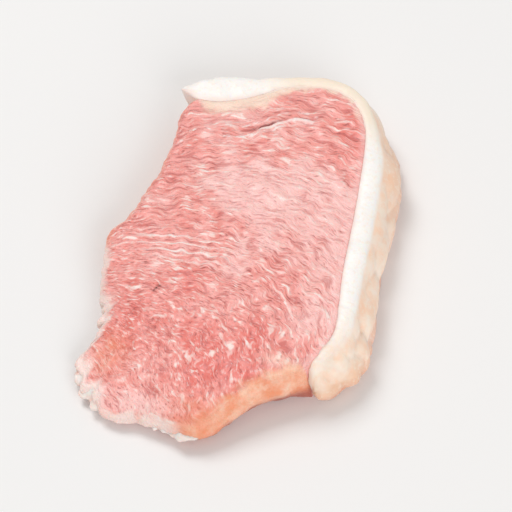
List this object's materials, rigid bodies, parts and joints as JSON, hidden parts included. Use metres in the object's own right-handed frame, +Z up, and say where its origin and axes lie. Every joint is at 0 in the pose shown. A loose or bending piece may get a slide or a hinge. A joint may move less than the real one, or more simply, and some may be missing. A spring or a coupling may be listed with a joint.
{
  "type": "boneless pork loin chop",
  "caption": "Raw boneless pork loin chop: a slanting slice of lean loin eye with a cap of back fat along one side, lying flat on its cut face.",
  "frame": {"origin": "on the surface that the chop lies on, under the middle of its bounding box", "axes": "+X from the trimmed edge towards the fat cap, +Y along the chop towards the end where the fat leaves a loose tongue, +Z up through the slice's thickness"},
  "size_m": [0.0816, 0.1254, 0.016],
  "materials": {
    "lean_meat": "moist cut lean pork, pale rose, satin wet sheen",
    "back_fat": "white cut back fat, cream on its outer side, soft satin"
  },
  "bodies": {
    "root": {"loin_eye": "lean_meat", "fat_cap": "back_fat"}
  },
  "joints": []
}
